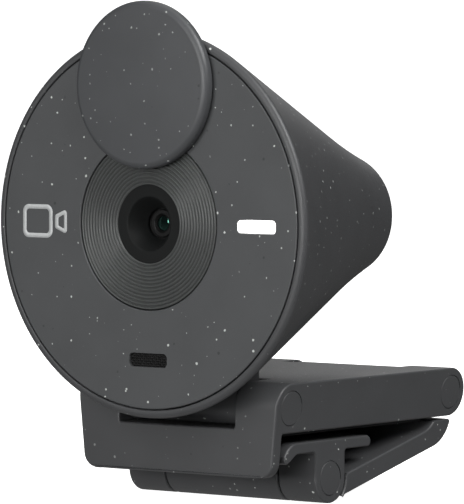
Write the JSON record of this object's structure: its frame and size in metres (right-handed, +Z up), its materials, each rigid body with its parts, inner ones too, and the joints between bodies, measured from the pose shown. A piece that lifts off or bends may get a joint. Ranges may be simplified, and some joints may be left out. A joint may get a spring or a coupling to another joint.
{
  "type": "webcam",
  "caption": "Round cone-shaped webcam with a swinging privacy shutter, tilting on a folding screen clip with a hinged leg and foot.",
  "frame": {"origin": "centre of the underside of the rubber pad that rests on a screen's top edge", "axes": "the lens looks along -Y, +Z is up, +X is to the right as seen from the front"},
  "size_m": [0.053, 0.0532, 0.069],
  "materials": {
    "speckled_shell": "fine matte dark grey moulding with pale flecks",
    "face_shell": "fine matte dark grey moulding with pale flecks",
    "ring_metal": "satin dark grey with turned concentric ridges",
    "black_plastic": "satin black",
    "lens_glass": "clear with a green anti-reflection coating",
    "sensor": "glossy dark",
    "board": "satin green solder mask",
    "chip": "matt black",
    "tinned_steel": "plated",
    "brass": "turned",
    "rubber": "matt soft rubber",
    "light_guide": "milky clear, lit white",
    "adhesive": "black foam tape",
    "bearing_plastic": "natural acetal"
  },
  "bodies": {
    "bracket": {"clip_bracket": "speckled_shell", "arm_base_plate": "black_plastic", "base_screws": "tinned_steel", "arm_pad": "rubber", "lip_pad": "rubber", "tilt_pin": "tinned_steel", "leg_pin": "tinned_steel", "tilt_pin_caps": "speckled_shell", "leg_pin_caps": "speckled_shell"},
    "head": {"rear_housing": "speckled_shell", "face_plate": "face_shell", "face_adhesive": "adhesive", "lens_ring": "ring_metal", "lens_bezel": "black_plastic", "lens_barrel": "black_plastic", "lens_front_element": "lens_glass", "lens_middle_element": "lens_glass", "lens_rear_element": "lens_glass", "lens_holder": "black_plastic", "ir_filter": "lens_glass", "image_sensor": "sensor", "sensor_board": "board", "holder_screws": "tinned_steel", "board_spacers": "brass", "board_connector": "chip", "main_board": "board", "board_screws": "tinned_steel", "board_chips": "chip", "shield_can": "tinned_steel", "cable_header": "chip", "cable_gland": "rubber", "front_board": "board", "front_board_screws": "tinned_steel", "led_light_guide": "light_guide", "status_led": "light_guide", "mic_mesh": "black_plastic", "mic_gasket": "rubber", "microphone": "chip", "tilt_neck": "speckled_shell", "neck_screws": "tinned_steel", "tilt_bush": "bearing_plastic"},
    "shutter": {"shutter_disc": "speckled_shell", "shutter_pivot": "tinned_steel", "shutter_glide_ring": "bearing_plastic", "shutter_washer": "tinned_steel", "shutter_clip": "tinned_steel"},
    "leg": {"rear_leg": "speckled_shell", "leg_bush": "bearing_plastic", "foot_bush": "bearing_plastic"},
    "foot": {"foot": "speckled_shell", "foot_pad": "rubber", "foot_pin": "tinned_steel", "foot_pin_caps": "speckled_shell"}
  },
  "joints": [
    {"name": "head_tilt", "type": "hinge", "parent": "bracket", "child": "head", "pos_m": [0, -0.0168, 0.00395], "axis": [1, 0, 0], "range_deg": [-4, 35]},
    {"name": "shutter_swivel", "type": "hinge", "parent": "head", "child": "shutter", "pos_m": [0, -0.0265, 0.03831], "axis": [0, -1, 0], "range_deg": [0, 180]},
    {"name": "leg_open", "type": "hinge", "parent": "bracket", "child": "leg", "pos_m": [0, 0.02125, 0.00395], "axis": [1, 0, 0], "range_deg": [0, 120]},
    {"name": "foot_pivot", "type": "hinge", "parent": "leg", "child": "foot", "pos_m": [0, -0.00675, -0.00633], "axis": [1, 0, 0], "range_deg": [-5, 5]}
  ]
}
